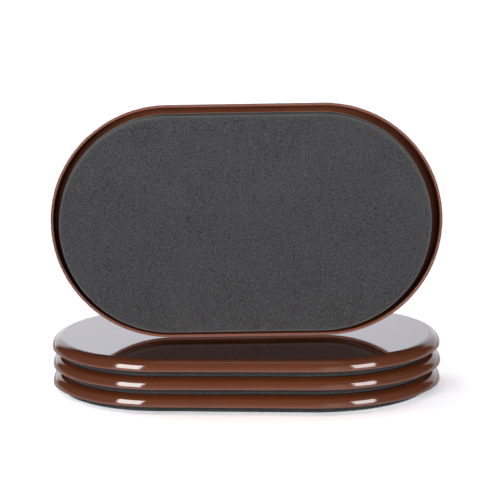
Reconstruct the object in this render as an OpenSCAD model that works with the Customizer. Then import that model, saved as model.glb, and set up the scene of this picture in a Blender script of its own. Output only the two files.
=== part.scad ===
// Set of four oval furniture sliders: three stacked flat and one standing on its long edge.
// Each slider is a moulded dish shell, a film of adhesive and a thick foam pad.
// Millimetres, +Z up. The origin is on the floor, under the centre of the lowest slider.

/* [Outline] */
// Length of a slider over its round ends
slider_length = 241.3; // [180:0.1:300]
// Width of a slider
slider_width = 146.05; // [100:0.05:170]

/* [Shell] */
// Height of the moulded shell, from its rim to its sliding face
shell_height = 7.0; // [6.7:0.1:12]
// Thickness of the sliding plate
plate_thickness = 2.0; // [1.2:0.1:3]
// Thickness of the rim at its free edge
rim_thickness = 1.7; // [1.2:0.1:2.4]
// Radius of the outside of the wall, from the upright band to the sliding plate
edge_radius = 5.8; // [4:0.1:6]
// Rounding of both edges of the rim
lip_rounding = 0.5; // [0.2:0.05:0.6]
// Radius inside the dish, where the wall meets the plate
inner_radius = 1.4; // [1:0.1:2.6]
// Draught angle of the inside of the wall
inner_draught = 8; // [2:1:10]

/* [Pad] */
// How far the foam pad stands out of the rim
pad_proud = 4.2; // [2:0.1:8]
// Distance from the inside radius of the dish to the long edge of a centred pad
pad_side_clearance = 1.4; // [1.3:0.1:6]
// Distance from the inside radius of the dish to the round end of a centred pad
pad_end_clearance = 2.5; // [1.4:0.1:8]
// How far the pad is glued off centre, along the slider
pad_offset_along = -0.7; // [-0.7:0.1:0.7]
// How far the pad is glued off centre, across the slider
pad_offset_across = 1.2; // [-1.2:0.1:1.2]
// Thickness of the adhesive film between the pad and the shell
adhesive_thickness = 0.2; // [0.1:0.05:0.5]

/* [Arrangement] */
// Turn of the middle slider on the lowest one
middle_turn = 1.2; // [-5:0.1:5]
// Turn of the top slider
top_turn = 1.1; // [-5:0.1:5]
// Turn of the standing slider
standing_turn = 5.0; // [-10:0.1:10]
// Place of the middle slider along and across the lowest one
middle_offset = [0.5, -0.5]; // [-5:0.1:5]
// Place of the top slider along and across the lowest one
top_offset = [0.2, -0.9]; // [-5:0.1:5]
// Place of the rim of the standing slider along and across the lowest one
standing_offset = [3.0, -10.9]; // [-20:0.1:20]
// Gap between each slider and the plate that it rests on
resting_clearance = 0.05; // [0.05:0.05:0.3]

/* [Hidden] */
$fn = 96;
shell_colour = [0.36, 0.17, 0.10];
adhesive_colour = [0.78, 0.76, 0.70];
pad_colour = [0.28, 0.28, 0.29];

// How far a cut runs past the face that it opens
overrun = 1.0;

outline_radius = slider_width / 2;
straight = slider_length - slider_width;
lip_height = shell_height - edge_radius;
dish_depth = shell_height - plate_thickness;

// Centre of the inside radius, and the point where it meets the draughted wall
inner_centre_height = dish_depth - inner_radius;
inner_centre = outline_radius - rim_thickness
    - (inner_radius + inner_centre_height * sin(inner_draught)) / cos(inner_draught);
inner_tangent = inner_centre + inner_radius * cos(inner_draught);
inner_tangent_height = inner_centre_height + inner_radius * sin(inner_draught);
inner_mouth = outline_radius - rim_thickness + overrun * tan(inner_draught);

// The pad fills the flat floor of the dish, on its adhesive
pad_radius = inner_centre - pad_side_clearance;
pad_straight = straight - 2 * (pad_end_clearance - pad_side_clearance);
pad_thickness = pad_proud + dish_depth - adhesive_thickness;

// Heights measured from the underside of a slider's own pad
adhesive_level = pad_thickness;
shell_level = pad_proud;
slider_height = shell_level + shell_height;
stack_step = slider_height + resting_clearance;

// Sweeps a half section, drawn outwards from the centre line, round an oval with a given straight run
module round_the_oval(run) {
    for (side = [-1, 1])
        translate([side * run / 2, 0, 0])
            rotate([0, 0, -side * 90])
                rotate_extrude(angle = 180)
                    children();
    translate([-run / 2, 0, 0])
        rotate([90, 0, 90])
            linear_extrude(height = run) {
                children();
                mirror([1, 0]) children();
            }
}

// Outside of the dish: rounded lip, upright band, quarter round and flat sliding plate
module dish_outside() {
    square([outline_radius - edge_radius, shell_height]);
    translate([outline_radius - edge_radius, lip_height])
        intersection() {
            circle(r = edge_radius);
            square([edge_radius, edge_radius]);
        }
    square([outline_radius - lip_rounding, lip_height]);
    translate([0, lip_rounding])
        square([outline_radius, lip_height - lip_rounding]);
    translate([outline_radius - lip_rounding, lip_rounding])
        circle(r = lip_rounding);
}

// Inside of the dish: rounded rim, draughted wall and inside radius up to the plate
module dish_inside() {
    polygon([
        [0, -overrun],
        [inner_mouth, -overrun],
        [inner_tangent, inner_tangent_height],
        [inner_centre, inner_centre_height],
        [0, inner_centre_height]
    ]);
    translate([inner_centre, inner_centre_height]) circle(r = inner_radius);
    square([inner_centre, dish_depth]);
    translate([outline_radius - rim_thickness, 0])
        difference() {
            translate([-lip_rounding, 0]) square([2 * lip_rounding, lip_rounding]);
            translate([lip_rounding, lip_rounding]) circle(r = lip_rounding);
        }
}

module slider_shell() {
    color(shell_colour)
        translate([0, 0, shell_level])
            round_the_oval(straight)
                difference() {
                    dish_outside();
                    dish_inside();
                }
}

// A slab with the outline of the pad
module pad_slab(thickness) {
    translate([pad_offset_along, pad_offset_across, 0])
        round_the_oval(pad_straight)
            square([pad_radius, thickness]);
}

module slider_adhesive() {
    color(adhesive_colour)
        translate([0, 0, adhesive_level])
            pad_slab(adhesive_thickness);
}

module slider_pad() {
    color(pad_colour) pad_slab(pad_thickness);
}

// Lays a slider flat on the stack: level 0 is the floor
module lay(level, offset, turn) {
    translate([offset[0], offset[1], level * stack_step])
        rotate([0, 0, turn])
            children();
}

module lay_bottom() { lay(0, [0, 0], 0) children(); }
module lay_middle() { lay(1, middle_offset, middle_turn) children(); }
module lay_top() { lay(2, top_offset, top_turn) children(); }

// Stands a slider on its long edge on the top plate, with its pad to the front
module stand() {
    lay(3, standing_offset, standing_turn)
        translate([0, -shell_level, outline_radius])
            rotate([-90, 0, 0])
                children();
}

module bottom_shell() { lay_bottom() slider_shell(); }
module bottom_adhesive() { lay_bottom() slider_adhesive(); }
module bottom_pad() { lay_bottom() slider_pad(); }

module middle_shell() { lay_middle() slider_shell(); }
module middle_adhesive() { lay_middle() slider_adhesive(); }
module middle_pad() { lay_middle() slider_pad(); }

module top_shell() { lay_top() slider_shell(); }
module top_adhesive() { lay_top() slider_adhesive(); }
module top_pad() { lay_top() slider_pad(); }

module standing_shell() { stand() slider_shell(); }
module standing_adhesive() { stand() slider_adhesive(); }
module standing_pad() { stand() slider_pad(); }

bottom_shell();
bottom_adhesive();
bottom_pad();
middle_shell();
middle_adhesive();
middle_pad();
top_shell();
top_adhesive();
top_pad();
standing_shell();
standing_adhesive();
standing_pad();
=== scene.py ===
import math

import bpy
import numpy as np
from mathutils import Matrix, Vector, noise


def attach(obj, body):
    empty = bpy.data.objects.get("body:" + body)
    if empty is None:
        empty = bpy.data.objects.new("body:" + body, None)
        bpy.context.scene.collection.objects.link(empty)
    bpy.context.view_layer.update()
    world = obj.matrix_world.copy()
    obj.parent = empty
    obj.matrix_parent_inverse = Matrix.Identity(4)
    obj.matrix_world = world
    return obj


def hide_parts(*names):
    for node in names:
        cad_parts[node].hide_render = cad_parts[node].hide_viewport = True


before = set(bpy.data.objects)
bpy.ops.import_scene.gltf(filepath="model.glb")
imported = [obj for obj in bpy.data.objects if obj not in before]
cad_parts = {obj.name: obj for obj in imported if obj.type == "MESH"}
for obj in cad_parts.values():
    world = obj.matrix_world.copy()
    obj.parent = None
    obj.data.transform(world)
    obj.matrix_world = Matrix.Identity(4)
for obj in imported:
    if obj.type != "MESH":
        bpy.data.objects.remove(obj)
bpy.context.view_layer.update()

MM = 0.001

# Outline, the same values as in the CAD source
LENGTH = 241.3
WIDTH = 146.05
RADIUS = WIDTH / 2
STRAIGHT = LENGTH - WIDTH

# Shell, the same values as in the CAD source
SHELL_HEIGHT = 7.0
PLATE = 2.0
RIM = 1.7
EDGE_RADIUS = 5.8
LIP_ROUNDING = 0.5
INNER_RADIUS = 1.4
DRAUGHT = math.radians(8)
LIP_HEIGHT = SHELL_HEIGHT - EDGE_RADIUS
DISH_DEPTH = SHELL_HEIGHT - PLATE
INNER_CENTRE_Z = DISH_DEPTH - INNER_RADIUS
INNER_CENTRE = (
    RADIUS
    - RIM
    - (INNER_RADIUS + INNER_CENTRE_Z * math.sin(DRAUGHT)) / math.cos(DRAUGHT)
)

# Pad and stack, the same values as in the CAD source
PAD_PROUD = 4.2
ADHESIVE = 0.2
PAD_SIDE_CLEARANCE = 1.4
PAD_END_CLEARANCE = 2.5
PAD_OFFSET = (-0.7, 1.2)
PAD_RADIUS = INNER_CENTRE - PAD_SIDE_CLEARANCE
PAD_STRAIGHT = STRAIGHT - 2 * (PAD_END_CLEARANCE - PAD_SIDE_CLEARANCE)
PAD_THICKNESS = PAD_PROUD + DISH_DEPTH - ADHESIVE
RESTING_CLEARANCE = 0.05
STEP = PAD_PROUD + SHELL_HEIGHT + RESTING_CLEARANCE

# Finish of the meshes: outer draught, roundings, and how far the section of a shell is drawn in
OUTER_DRAUGHT = math.radians(7)
FREE_ROUNDING = 0.8
GLUED_ROUNDING = 0.3
SKIN = 0.03

# Stations of a mesh on a quarter of its round outline and on a straight run
PER_QUARTER = 44
PER_STRAIGHT = 20

# Rows of the shell's section: rings of the plate, steps of the arcs after it and rings back underneath
PLATE_RINGS = (1, 12, 24, 36, 48, 58, 63, 65.6)
EDGE_STEPS = 24
LIP_STEPS = 7
RIM_STEPS = 6
INNER_STEPS = 10
UNDER_RINGS = (67.5, 60, 48, 36, 24, 12, 1)
INSIDE_ROW = len(PLATE_RINGS) + EDGE_STEPS + 1 + LIP_STEPS + 1 + RIM_STEPS

# One level for each of those rows: its painted highlight on the lip and rim, and its painted shade in the
# recess round the pad
RIM_HIGHLIGHT_LEVELS = [0.0] * 32 + [0.25] + [1.0] * 11 + [0.6, 0.3] + [0.0] * 20
RECESS_SHADE_LEVELS = [0.0] * 48 + [0.85] * 9 + [0.95, 1.0, 0.55] + [0.0] * 6

# Rows of the pad's section, from the middle of its free face to the middle of its glued face
FREE_RINGS = [1.0] + [3.0 * k for k in range(1, 21)] + [62, 63.5, 65, 66.3, 67]
FREE_STEPS = 5
SIDE_ROWS = 13
GLUED_STEPS = 3
GLUED_RINGS = (60, 40, 20, 1)

# Painted highlight that makes the edge of a free pad pale: its level, how far up the side it reaches, and
# how it fades in on the face
PALE_LEVEL = -0.9
PALE_HEIGHT = 1.6
PALE_START = 65.5
PALE_SPREAD = 8

# Shade on a pad in the stack: its level at the plate below, how far up that reaches, and its level above
CONTACT_LEVEL = 0.55
CONTACT_HEIGHT = 0.35
STACK_LEVEL = 0.4

# Unevenness of the foam: how deep it sinks, how much that varies, how finely, and a shift for each pad
SINK = 0.05
BROAD_SINK = 0.05
FINE_SINK = 0.035
BROAD_SCALE = 0.045
FINE_SCALE = 0.45
SEED_SHIFT = (37.1, 11.7, 5.3)

# Colours, as light values
WHITE = (1, 1, 1, 1)
BROWN = (0.180, 0.045, 0.0135, 1)
DARK_BROWN = (0.166, 0.040, 0.0125, 1)
DUST = (0.42, 0.20, 0.13, 1)
# Painted highlight on the lip and rim: a paler brown in place of the floor's reflection
RIM_HIGHLIGHT_COLOUR = (0.30, 0.13, 0.10, 1)
# Painted shade in the recess round the pad, almost black
RECESS_SHADE_COLOUR = (0.02, 0.004, 0.0015, 1)
FOAM_DARK = (0.009, 0.009, 0.0096, 1)
FOAM_LIGHT = (0.0735, 0.0735, 0.0775, 1)
FOAM_PIT = (0.02, 0.02, 0.021, 1)
# Painted highlight on the edge of a free pad
FOAM_EDGE_HIGHLIGHT = (0.15, 0.15, 0.155, 1)
# Painted shade on the pad's side under the rim and in the stack
FOAM_SHADE = (0.004, 0.004, 0.0042, 1)
GLUE_DARK = (0.50, 0.47, 0.40, 1)
GLUE_LIGHT = (0.62, 0.60, 0.53, 1)

# Camera: its place in metres, its turns in degrees and its lens in millimetres
CAMERA_AT = Vector((0.21445, -2.15766, 0.56316))
CAMERA_YAW = 5.5765
CAMERA_PITCH = 12.4126
CAMERA_ROLL = -0.996
LENS = 258.22
SENSOR = 36

# Softboxes and fill as the gloss shows them: brightness, then the patch of sky as region takes it
GLOSS_PATCHES = [
    (17.5, ((-43.5, -22.8), (6, 44), 1.5, 0.24, 0)),
    (14.0, ((35.5, 53.8), (7, 40), 2.0, 0, 0.24)),
    (0.9, ((4, 30), (-30, 34), 8.0)),
    (0.45, ((-20, 30), (-30, 22), 8.0)),
    (0.75, ((-181, 181), (80, 91), 5.0)),
]

# Dim sides of the studio, which the gloss shows: brightness behind and in front, and where it turns
DIM_TURN = (math.radians(50), math.radians(95))
DIM_BACK = 0.06
DIM_FRONT = 0.3

# White sweep behind the object, which the gloss shows: its patch, its brightness across and its tint
SWEEP = ((-1, 38), (-31, 28), 5.0)
SWEEP_SIDES = (-0.2, 0.45)
SWEEP_LIGHT = (2.0, 1.15)
SWEEP_CORNER = (-0.4, -0.2)
SWEEP_FALL = 0.3
SWEEP_TINT = (0.91, 0.92, 1.0, 1)

# Light on matt surfaces: low softboxes, a ceiling, a light from the left, one all round and one behind
MATT_RISE = (-8, 5)
MATT_PATCHES = [
    (40.0, ((-51, -21), MATT_RISE, 2.0)),
    (29.4, ((33, 62), MATT_RISE, 2.0)),
    (0.06, ((-181, 181), (60, 91), 6.0)),
    (0.4, ((-150, -70), (25, 50), 6.0)),
]
MATT_ROUND = (0.35, ((-181, 181), (-14, 14), 4.0))
MATT_BACK = (14.0, ((-1, 60), MATT_RISE, 4.0))

# Floor: half its width and its level in metres, and its colour by light, to the camera and in the gloss
FLOOR_HALF = 6.0
FLOOR_LEVEL = -0.00005
FLOOR_TONE = (0.80, 0.80, 0.81, 1)
FLOOR_SEEN = (8.6, 9.15, 9.5, 1)
FLOOR_GLOSS = (5.0, 5.2, 5.3, 1)


def lay(level, offset, turn):
    """Places a slider flat on the stack, pad down."""
    moved = Matrix.Translation((offset[0], offset[1], level * STEP))
    return moved @ Matrix.Rotation(math.radians(turn), 4, "Z")


def stand(offset, turn):
    """Places a slider on its long edge on the stack, pad to the front."""
    return (
        lay(3, offset, turn)
        @ Matrix.Translation((0, -PAD_PROUD, RADIUS))
        @ Matrix.Rotation(math.radians(-90), 4, "X")
    )


# Place of each slider, the same values as in the CAD source
PLACES = {
    "bottom": lay(0, (0, 0), 0),
    "middle": lay(1, (0.5, -0.5), 1.2),
    "top": lay(2, (0.2, -0.9), 1.1),
    "standing": stand((3.0, -10.9), 5.0),
}


def oval_stations(run):
    """Stations round the oval from its +X tip: x of the centre that each is swept about, and its angle.

    Station i and station -i mirror each other in the X axis, which lets a cap be closed with quads."""
    quarter = [math.pi / 2 * k / PER_QUARTER for k in range(PER_QUARTER)]
    half = [(run / 2, angle) for angle in quarter]
    half += [(run / 2 - run * k / PER_STRAIGHT, math.pi / 2) for k in range(PER_STRAIGHT)]
    half += [(-run / 2, math.pi / 2 + angle) for angle in quarter]
    tip = (-run / 2, math.pi)
    return half + [tip] + [(x, -angle) for x, angle in reversed(half[1:])]


def arc(centre, radius, start, end, steps, hollow=False):
    """Rows of a section along an arc, with their normals; a hollow arc is seen from its centre."""
    side = -1 if hollow else 1
    rows = []
    for k in range(steps + 1):
        angle = start + (end - start) * k / steps
        out, rise = math.cos(angle), math.sin(angle)
        rows.append((centre[0] + radius * out, centre[1] + radius * rise, side * out, side * rise))
    return rows


def shell_section():
    """Half section of the dish from the middle of the plate, over the rim and back under the plate.

    Each row holds a radius and a height, and a normal as its share outwards and its share upwards."""
    up, down = math.radians(90), math.radians(-90)
    slope, lean = math.sin(OUTER_DRAUGHT), math.cos(OUTER_DRAUGHT)
    band = LIP_HEIGHT - LIP_ROUNDING * (1 + slope)
    side = RADIUS - LIP_ROUNDING * (1 - lean) - band * math.tan(OUTER_DRAUGHT)
    edge = EDGE_RADIUS / (1 - slope)
    edge_centre = (side - edge * lean, SHELL_HEIGHT - edge)
    lip_centre = (RADIUS - LIP_ROUNDING, LIP_ROUNDING)
    rim_inside = RADIUS - RIM + LIP_ROUNDING * (1 - math.sin(DRAUGHT)) / math.cos(DRAUGHT)
    rim_centre = (rim_inside, LIP_ROUNDING)
    inner_centre = (INNER_CENTRE, INNER_CENTRE_Z)

    rows = [(ring, SHELL_HEIGHT, 0, 1) for ring in PLATE_RINGS]
    rows += arc(edge_centre, edge, up, OUTER_DRAUGHT, EDGE_STEPS)
    rows += arc(lip_centre, LIP_ROUNDING, OUTER_DRAUGHT, down, LIP_STEPS)
    rows += arc(rim_centre, LIP_ROUNDING, down, -math.pi + DRAUGHT, RIM_STEPS)
    rows += arc(inner_centre, INNER_RADIUS, DRAUGHT, up, INNER_STEPS, hollow=True)
    rows += [(ring, DISH_DEPTH, 0, -1) for ring in UNDER_RINGS]
    return [(radius - SKIN, height + PAD_PROUD, out, rise) for radius, height, out, rise in rows]


def pad_section():
    """Half section of the foam pad, from the middle of its free face round its edge to the glued face."""
    up, down = math.radians(90), math.radians(-90)
    low, high = FREE_ROUNDING, PAD_THICKNESS - GLUED_ROUNDING
    free_centre = (PAD_RADIUS - FREE_ROUNDING, low)
    glued_centre = (PAD_RADIUS - GLUED_ROUNDING, high)

    rows = [(ring, 0, 0, -1) for ring in FREE_RINGS]
    rows += arc(free_centre, FREE_ROUNDING, down, 0, FREE_STEPS)
    rows += [(PAD_RADIUS, low + (high - low) * k / SIDE_ROWS, 1, 0) for k in range(1, SIDE_ROWS)]
    rows += arc(glued_centre, GLUED_ROUNDING, 0, up, GLUED_STEPS)
    rows += [(ring, PAD_THICKNESS, 0, 1) for ring in GLUED_RINGS]
    return rows


def pad_light_levels(free):
    """Level of painted light for each row of the pad, from how deep it lies: 0 on its face and 1 at the
    rim of the dish.

    Towards the rim the level paints shade on its side. In the stack the whole side gets painted shade,
    and it is dark where it meets the plate below and under the rim. The edge of a free pad has a level
    under 0, which paints a highlight that makes it a little paler than its face."""
    levels = []
    for radius, height, out, _ in pad_section():
        level = height / PAD_PROUD
        if free and out > 0 and height < PALE_HEIGHT:
            level = PALE_LEVEL
        elif free and height < FREE_ROUNDING:
            level = min(0, (PALE_START - radius) / PALE_SPREAD)
        elif not free:
            level = max(level, CONTACT_LEVEL if height < CONTACT_HEIGHT else STACK_LEVEL)
        levels.append(level)
    return levels


def foam_unevenness(seed):
    """The small unevenness of die-cut foam: its free face and side only ever sink in from the slab."""
    shift = Vector([part * seed for part in SEED_SHIFT])

    def shape(points, normals):
        moved = points.copy()
        for i, (point, normal) in enumerate(zip(points, normals)):
            at = Vector(point)
            broad = noise.noise(at * BROAD_SCALE + shift)
            fine = noise.noise(at * FINE_SCALE + shift)
            sink = SINK + BROAD_SINK * broad + FINE_SINK * fine
            glued = normal[2] > 0.5
            if sink > 0 and not glued:
                moved[i] -= normal * sink
        moved[:, 0] += PAD_OFFSET[0]
        moved[:, 1] += PAD_OFFSET[1]
        return moved

    return shape


def linked(name, data):
    """A new object, linked to the scene."""
    obj = bpy.data.objects.new(name, data)
    bpy.context.scene.collection.objects.link(obj)
    return obj


def sweep(name, section, stations, place, shape=None):
    """Closed mesh of a half section swept round the oval, with its caps closed by quads.

    shape(points, normals) may move the points, in the slider's own frame, before they are placed."""
    rows, count = len(section), len(stations)
    centres = np.array([x for x, _ in stations])
    angles = np.array([angle for _, angle in stations])
    cosine, sine = np.cos(angles), np.sin(angles)
    radius, height, out, rise = np.array(section, float).T[:, :, None]
    points = np.empty((rows, count, 3))
    points[..., 0] = centres + radius * cosine
    points[..., 1] = radius * sine
    points[..., 2] = height
    normals = np.empty_like(points)
    normals[..., 0] = out * cosine
    normals[..., 1] = out * sine
    normals[..., 2] = rise
    points, normals = points.reshape(-1, 3), normals.reshape(-1, 3)
    if shape:
        points = shape(points, normals)
    turn = np.array(place.to_3x3())
    points = points @ turn.T + np.array(place.translation)
    normals = normals @ turn.T

    faces = []
    for i in range(rows - 1):
        here, beyond = i * count, (i + 1) * count
        for j in range(count):
            k = (j + 1) % count
            faces.append((here + j, beyond + j, beyond + k, here + k))
    for first, flip in ((0, False), ((rows - 1) * count, True)):
        for j in range(count // 2):
            ring = [j, j + 1, (count - j - 1) % count, (count - j) % count]
            ring = [first + station for station in dict.fromkeys(ring)]
            faces.append(ring[::-1] if flip else ring)

    mesh = bpy.data.meshes.new(name)
    mesh.from_pydata((points * MM).tolist(), [], faces)
    mesh.shade_smooth()
    if not shape:
        mesh.normals_split_custom_set_from_vertices(normals.tolist())
    return linked(name, mesh)


def finish_from(obj, row, stations, material):
    """Gives a material to the faces of a swept mesh from one row of its section on."""
    obj.data.materials.append(material)
    faces = obj.data.polygons
    cap = len(stations) // 2
    swept = len(faces) - 2 * cap
    for face in faces:
        after_row = row * len(stations) <= face.index < swept
        in_last_cap = face.index >= swept + cap
        if after_row or in_last_cap:
            face.material_index = 1


def mark(obj, name, levels, stations):
    """Keeps one level for each row of a swept mesh, for its material."""
    values = [level for level in levels for _ in stations]
    obj.data.attributes.new(name, "FLOAT", "POINT").data.foreach_set("value", values)


def maker(tree):
    """Empties a node tree and returns make(kind, sockets, settings), which adds a node to it."""
    tree.nodes.clear()

    def make(kind, sockets=None, **settings):
        node = tree.nodes.new(kind)
        for key, value in settings.items():
            setattr(node, key, value)
        for key, value in (sockets or {}).items():
            if isinstance(value, bpy.types.NodeSocket):
                tree.links.new(value, node.inputs[key])
            else:
                node.inputs[key].default_value = value
        return node

    return make


def new_material(name):
    """A new material and the maker of its nodes."""
    material = bpy.data.materials.new(name)
    material.use_nodes = True
    return material, maker(material.node_tree)


def ranged(make, value, low, high, to_low, to_high, kind="LINEAR"):
    """value, mapped from low..high to to_low..to_high and clamped."""
    sockets = {
        "Value": value,
        "From Min": low,
        "From Max": high,
        "To Min": to_low,
        "To Max": to_high,
    }
    return make("ShaderNodeMapRange", sockets, interpolation_type=kind).outputs["Result"]


def blended(make, factor, first, second):
    """Colour mixed from first to second by factor."""
    sockets = {"Factor": factor, 6: first, 7: second}
    return make("ShaderNodeMix", sockets, data_type="RGBA").outputs[2]


def calculated(make, operation, *values):
    """Result of one math node."""
    return make("ShaderNodeMath", dict(enumerate(values)), operation=operation).outputs[0]


def grained(make, where, scale, detail, **others):
    """Noise texture, read at a place."""
    sockets = {"Vector": where, "Scale": scale, "Detail": detail, **others}
    return make("ShaderNodeTexNoise", sockets).outputs["Fac"]


def celled(make, where, scale):
    """Distance from the middle of the nearest cell of a cell texture, read at a place."""
    return make("ShaderNodeTexVoronoi", {"Vector": where, "Scale": scale}).outputs["Distance"]


def bumped(make, height, strength, distance):
    """Normal of a surface with fine bumps of a height."""
    sockets = {"Height": height, "Strength": strength, "Distance": distance}
    return make("ShaderNodeBump", sockets).outputs["Normal"]


def plastic(name, roughness, specular, marked, tone, share):
    """Brown moulded plastic, with a faint flow in its colour, a fine orange peel and light handling haze.

    Where the mesh is marked, its colour turns to another tone by a share: a painted highlight on the lip
    and rim outside, or painted shade in the recess round the pad inside."""
    material, make = new_material(name)
    where = make("ShaderNodeTexCoord").outputs["Object"]
    flow = grained(make, where, 14.0, 3.0, Distortion=0.6)
    haze = grained(make, where, 70.0, 6.0, Roughness=0.65)
    peel = grained(make, where, 420.0, 2.0)
    speck = celled(make, where, 900.0)
    colour = blended(make, ranged(make, flow, 0.3, 0.7, 0, 1), DARK_BROWN, BROWN)
    dust = ranged(make, speck, 0.05, 0.16, 0.35, 0)
    dust = calculated(make, "MULTIPLY", dust, ranged(make, haze, 0.45, 0.7, 0, 1))
    colour = blended(make, dust, colour, DUST)
    # The marked level paints a highlight on the lip and rim, or shade in the recess, into the colour
    level = make("ShaderNodeAttribute", attribute_name=marked).outputs["Fac"]
    patchy = ranged(make, haze, 0.35, 0.65, 0.8 * share, share)
    colour = blended(make, calculated(make, "MULTIPLY", level, patchy), colour, tone)
    shader = make(
        "ShaderNodeBsdfPrincipled",
        {
            "Base Color": colour,
            "Roughness": ranged(make, haze, 0.3, 0.75, *roughness),
            "IOR": 1.5,
            "Specular IOR Level": specular,
            "Normal": bumped(make, peel, 0.05, 0.0002),
        },
    )
    make("ShaderNodeOutputMaterial", {"Surface": shader.outputs[0]})
    return material


def foam():
    """Charcoal closed-cell foam: fine open cells where it was cut, a mottled tone and a dull surface."""
    material, make = new_material("charcoal_foam")
    where = make("ShaderNodeTexCoord").outputs["Object"]
    cells = celled(make, where, 1500.0)
    grain = grained(make, where, 1400.0, 3.0, Roughness=0.7)
    mottle = grained(make, where, 45.0, 4.0)
    tone = blended(make, ranged(make, grain, 0.42, 0.58, 0, 1), FOAM_DARK, FOAM_LIGHT)
    tone = blended(make, ranged(make, cells, 0.02, 0.30, 0.8, 0), tone, FOAM_PIT)
    tone = blended(make, ranged(make, mottle, 0.3, 0.7, 0, 0.25), tone, FOAM_LIGHT)
    painted_light_level = make("ShaderNodeAttribute", attribute_name="painted_light_level").outputs["Fac"]
    # Painted highlight on the edge of a free pad, where its level is under 0
    tone = blended(make, ranged(make, painted_light_level, -2, 0, 0.95, 0), tone, FOAM_EDGE_HIGHLIGHT)
    # Painted shade on the pad's side under the rim, and in the stack down to where it meets the plate
    # below
    shade = ranged(make, painted_light_level, 0.3, 0.62, 0, 0.95, "SMOOTHSTEP")
    tone = blended(make, shade, tone, FOAM_SHADE)
    height = calculated(make, "MULTIPLY", cells, grain)
    shader = make(
        "ShaderNodeBsdfPrincipled",
        {
            "Base Color": tone,
            "Roughness": ranged(make, grain, 0.2, 0.8, 0.82, 0.98),
            "Specular IOR Level": 0.25,
            "Sheen Weight": 0.12,
            "Sheen Roughness": 0.6,
            "Normal": bumped(make, height, 0.5, 0.0004),
        },
    )
    make("ShaderNodeOutputMaterial", {"Surface": shader.outputs[0]})
    return material


def glue():
    """Off-white film of adhesive, slightly uneven in tone and shine."""
    material, make = new_material("adhesive_film")
    where = make("ShaderNodeTexCoord").outputs["Object"]
    streak = grained(make, where, 120.0, 4.0, Distortion=1.2)
    shader = make(
        "ShaderNodeBsdfPrincipled",
        {
            "Base Color": blended(
                make, ranged(make, streak, 0.3, 0.7, 0, 1), GLUE_DARK, GLUE_LIGHT
            ),
            "Roughness": ranged(make, streak, 0.3, 0.7, 0.3, 0.5),
            "Normal": bumped(make, streak, 0.2, 0.0001),
        },
    )
    make("ShaderNodeOutputMaterial", {"Surface": shader.outputs[0]})
    return material


def dress():
    """Makes the shell and the pad of each slider and finishes the film between them."""
    # Outside, the lip and rim get a painted highlight; inside, the recess round the pad gets painted
    # shade
    outside = plastic(
        "brown_plastic", roughness=(0.05, 0.11), specular=0.5, marked="painted_rim_highlight", tone=RIM_HIGHLIGHT_COLOUR, share=0.65
    )
    inside = plastic(
        "brown_plastic_inside",
        roughness=(0.42, 0.55),
        specular=0.12,
        marked="painted_light_level",
        tone=RECESS_SHADE_COLOUR,
        share=0.88,
    )
    charcoal = foam()
    adhesive = glue()
    round_shell = oval_stations(STRAIGHT)
    round_pad = oval_stations(PAD_STRAIGHT)
    for seed, (which, place) in enumerate(PLACES.items(), start=1):
        body = which + "_slider"
        shell = sweep(which + "_dish", shell_section(), round_shell, place)
        shell.data.materials.append(outside)
        finish_from(shell, INSIDE_ROW, round_shell, inside)
        # Levels of the painted highlight on the lip and rim, and of the painted shade in the recess
        mark(shell, "painted_rim_highlight", RIM_HIGHLIGHT_LEVELS, round_shell)
        mark(shell, "painted_light_level", RECESS_SHADE_LEVELS, round_shell)
        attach(shell, body)
        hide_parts(which + "_shell")

        pad = sweep(which + "_foam", pad_section(), round_pad, place, foam_unevenness(seed))
        pad.data.materials.append(charcoal)
        # Levels that paint shade on the pad's side, and a highlight on the edge of the standing pad
        mark(pad, "painted_light_level", pad_light_levels(which == "standing"), round_pad)
        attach(pad, body)
        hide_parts(which + "_pad")

        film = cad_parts[which + "_adhesive"]
        film.data.materials.clear()
        film.data.materials.append(adhesive)


def camera():
    """Camera of the photograph: a long lens, a little above the plates and to the right."""
    data = bpy.data.cameras.new("camera")
    data.lens, data.sensor_width = LENS, SENSOR
    data.clip_start, data.clip_end = 0.05, 50
    obj = linked("camera", data)
    obj.matrix_world = (
        Matrix.Translation(CAMERA_AT)
        @ Matrix.Rotation(math.radians(CAMERA_YAW), 4, "Z")
        @ Matrix.Rotation(math.radians(90 - CAMERA_PITCH), 4, "X")
        @ Matrix.Rotation(math.radians(CAMERA_ROLL), 4, "Z")
    )
    bpy.context.scene.camera = obj


def region(make, azimuth, elevation, spans):
    """1 inside a patch of sky with soft edges, 0 outside. spans holds (low, high) for both angles and
    the softness of the edges, in degrees. After them it may hold how far the left and right edges lean
    out for each degree of elevation."""
    (left, right), (low, high), soft, *leans = spans
    lean_left, lean_right = leans or (0, 0)

    def edge(value, at, rising):
        ends = (0, 1) if rising else (1, 0)
        start, end = math.radians(at - soft), math.radians(at + soft)
        return ranged(make, value, start, end, *ends, "SMOOTHSTEP")

    from_left = calculated(make, "MULTIPLY_ADD", elevation, lean_left, azimuth)
    from_right = calculated(make, "MULTIPLY_ADD", elevation, -lean_right, azimuth)
    inside = edge(from_left, left, True)
    inside = calculated(make, "MULTIPLY", inside, edge(from_right, right, False))
    inside = calculated(make, "MULTIPLY", inside, edge(elevation, low, True))
    return calculated(make, "MULTIPLY", inside, edge(elevation, high, False))


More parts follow.
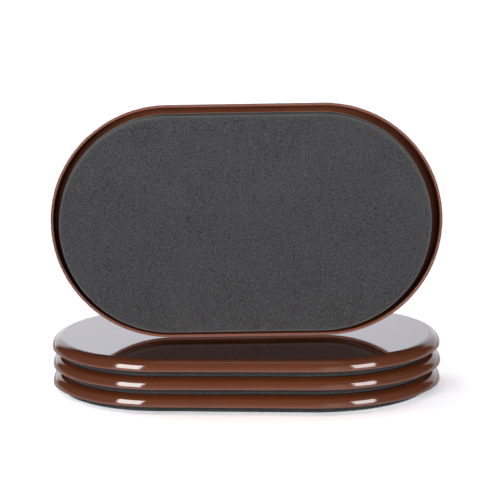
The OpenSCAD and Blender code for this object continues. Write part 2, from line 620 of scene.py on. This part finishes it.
def surroundings():
    """Studio round the object: softboxes in front, a white sweep behind, dim sides and a pale ceiling.

    The camera sees plain white. The gloss sees each patch at its own brightness, and matt surfaces get
    a plain level of light from the softboxes."""
    world = bpy.data.worlds.new("studio")
    bpy.context.scene.world = world
    world.use_nodes = True
    make = maker(world.node_tree)
    place = make("ShaderNodeTexCoord").outputs["Generated"]
    direction = make("ShaderNodeSeparateXYZ", {0: place}).outputs

    # The azimuth is 0 in front of the object and 90 to its right, and the other angle is 0 behind it
    forward = calculated(make, "MULTIPLY", direction["Y"], -1.0)
    elevation = calculated(make, "ARCSINE", direction["Z"])
    azimuth = calculated(make, "ARCTAN2", direction["X"], forward)
    from_behind = calculated(make, "ARCTAN2", direction["X"], direction["Y"])
    from_behind = calculated(make, "ABSOLUTE", from_behind)
    path = make("ShaderNodeLightPath").outputs
    gloss = calculated(make, "MAXIMUM", path["Is Glossy Ray"], path["Is Transmission Ray"])

    shown = ranged(make, from_behind, *DIM_TURN, DIM_BACK, DIM_FRONT, "SMOOTHSTEP")
    for strength, spans in GLOSS_PATCHES:
        inside = region(make, azimuth, elevation, spans)
        shown = calculated(make, "MULTIPLY_ADD", inside, strength, shown)
    backdrop = region(make, from_behind, elevation, SWEEP)
    side = ranged(make, direction["X"], *SWEEP_SIDES, *SWEEP_LIGHT)
    corner = ranged(make, direction["X"], *SWEEP_CORNER, SWEEP_FALL, 0)
    side = calculated(make, "SUBTRACT", side, corner)
    shown = calculated(make, "MULTIPLY_ADD", backdrop, side, shown)

    strength, spans = MATT_ROUND
    matt = calculated(make, "MULTIPLY", region(make, azimuth, elevation, spans), strength)
    for strength, spans in MATT_PATCHES:
        inside = region(make, azimuth, elevation, spans)
        matt = calculated(make, "MULTIPLY_ADD", inside, strength, matt)
    strength, spans = MATT_BACK
    behind = region(make, from_behind, elevation, spans)
    matt = calculated(make, "MULTIPLY_ADD", behind, strength, matt)

    more = calculated(make, "SUBTRACT", shown, matt)
    light = calculated(make, "ADD", matt, calculated(make, "MULTIPLY", gloss, more))
    tint = blended(make, backdrop, WHITE, SWEEP_TINT)
    lit = make("ShaderNodeBackground", {"Color": tint, "Strength": light}).outputs[0]
    plain = make("ShaderNodeBackground", {"Color": WHITE, "Strength": 1.0}).outputs[0]
    mixed = make("ShaderNodeMixShader", {0: path["Is Camera Ray"], 1: lit, 2: plain}).outputs[0]
    make("ShaderNodeOutputWorld", {"Surface": mixed})


def floor():
    """Plain white floor that keeps the shadow of the object."""
    mesh = bpy.data.meshes.new("floor")
    signs = ((-1, -1), (1, -1), (1, 1), (-1, 1))
    corners = [(x * FLOOR_HALF, y * FLOOR_HALF, FLOOR_LEVEL) for x, y in signs]
    mesh.from_pydata(corners, [], [(0, 1, 2, 3)])
    obj = linked("floor", mesh)
    material, make = new_material("white_floor")
    path = make("ShaderNodeLightPath").outputs
    gloss = calculated(make, "MAXIMUM", path["Is Glossy Ray"], path["Is Transmission Ray"])
    tone = blended(make, gloss, FLOOR_TONE, FLOOR_GLOSS)
    tone = blended(make, path["Is Camera Ray"], tone, FLOOR_SEEN)
    white = make("ShaderNodeBsdfDiffuse", {"Color": tone}).outputs[0]
    make("ShaderNodeOutputMaterial", {"Surface": white})
    mesh.materials.append(material)


dress()
camera()
surroundings()
floor()
bpy.context.scene.view_settings.view_transform = "Standard"
